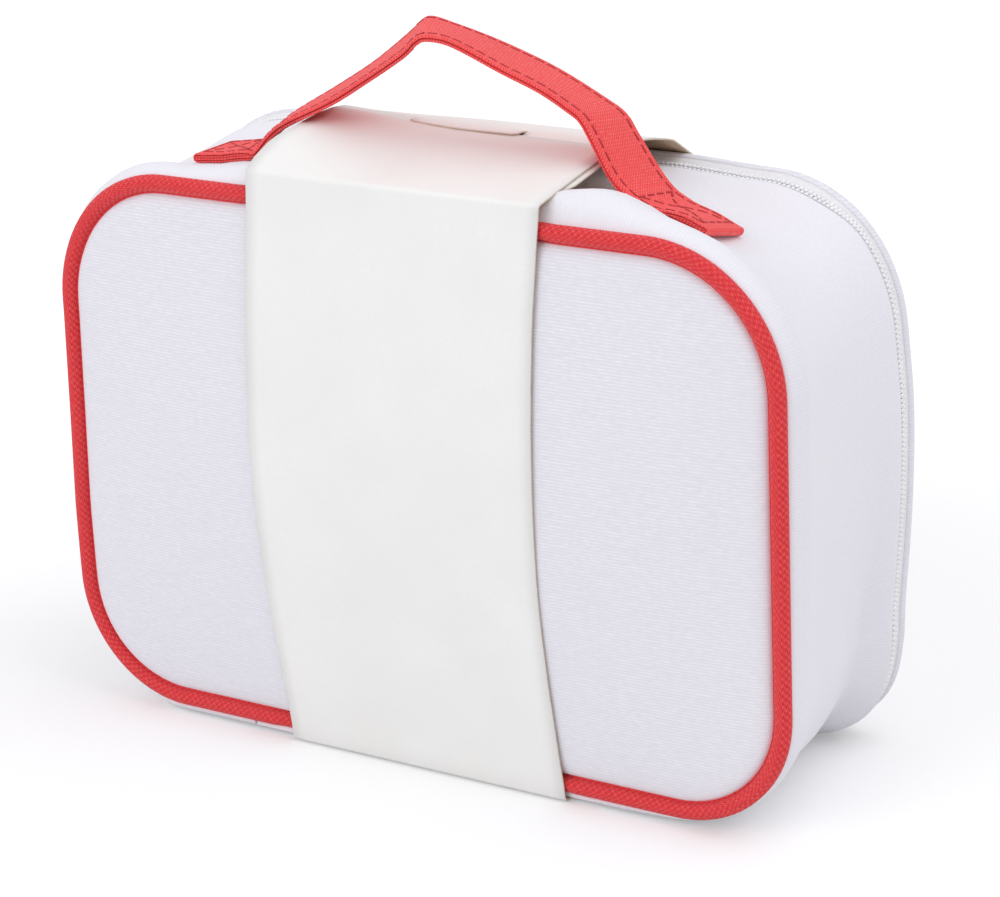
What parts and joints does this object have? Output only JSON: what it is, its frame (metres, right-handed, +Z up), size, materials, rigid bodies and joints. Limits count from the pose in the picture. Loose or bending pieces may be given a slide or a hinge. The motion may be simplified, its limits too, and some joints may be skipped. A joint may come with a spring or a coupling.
{
  "type": "toy doctor case",
  "caption": "Soft zip case with a padded piped back, deep side wall, zip lid hinged at the bottom, strap handle on top and a plain card band round its middle.",
  "frame": {"origin": "on the floor under the middle of the case, which stands upright on its bottom", "axes": "+X along the case's length, to the right when its piped back is seen from outside; -Y out of the piped back panel and +Y out of the lid; +Z up"},
  "size_m": [0.2428, 0.0951, 0.208],
  "materials": {
    "panel_cloth": "woven polyester over foam",
    "lining": "thin woven lining",
    "board": "grey board",
    "red_cloth": "coarse red weave",
    "zip_tape": "woven zip tape",
    "zip_teeth": "moulded coil",
    "card": "white coated card, brown inside",
    "white_enamel": "white enamel"
  },
  "bodies": {
    "case": {"back_panel": "panel_cloth", "back_stiffener_board": "board", "back_lining": "lining", "back_seam_binding": "lining", "back_piping": "red_cloth", "gusset_wall": "panel_cloth", "bottom_panel": "panel_cloth", "gusset_lining": "lining", "hinge_strip": "panel_cloth", "zip_tape_case": "zip_tape", "zip_teeth_case": "zip_teeth", "zip_end_stops": "zip_teeth", "handle_end_left": "red_cloth", "handle_end_right": "red_cloth", "handle_leg_left": "red_cloth", "handle_leg_right": "red_cloth", "sleeve_back": "card"},
    "lid": {"lid_panel": "panel_cloth", "lid_stiffener_board": "board", "lid_lining": "lining", "lid_seam_binding": "lining", "zip_tape_lid": "zip_tape", "zip_teeth_lid": "zip_teeth", "sleeve_front": "card"},
    "handle": {"handle_grip": "red_cloth"},
    "slider": {"zip_slider": "white_enamel"},
    "pull": {"zip_pull_tab": "white_enamel"}
  },
  "joints": [
    {"name": "lid_hinge", "type": "hinge", "parent": "case", "child": "lid", "pos_m": [0, 0.0345, 0], "axis": [-1, 0, 0], "range_deg": [0, 175], "deforming": ["hinge_strip"]},
    {"name": "handle_fold", "type": "hinge", "parent": "case", "child": "handle", "pos_m": [0, -0.0045, 0.168], "axis": [1, 0, 0], "range_deg": [-45, 45], "stiffness_Nm_per_rad": 0.03, "deforming": ["handle_leg_left", "handle_leg_right"]},
    {"name": "slider_travel", "type": "slide", "parent": "case", "child": "slider", "axis": [0, 0, 1], "range_m": [0, 0.072]},
    {"name": "pull_swing", "type": "hinge", "parent": "slider", "child": "pull", "pos_m": [-0.1217, 0.0345, 0.0415], "axis": [0, 1, 0], "range_deg": [0, 150]}
  ]
}
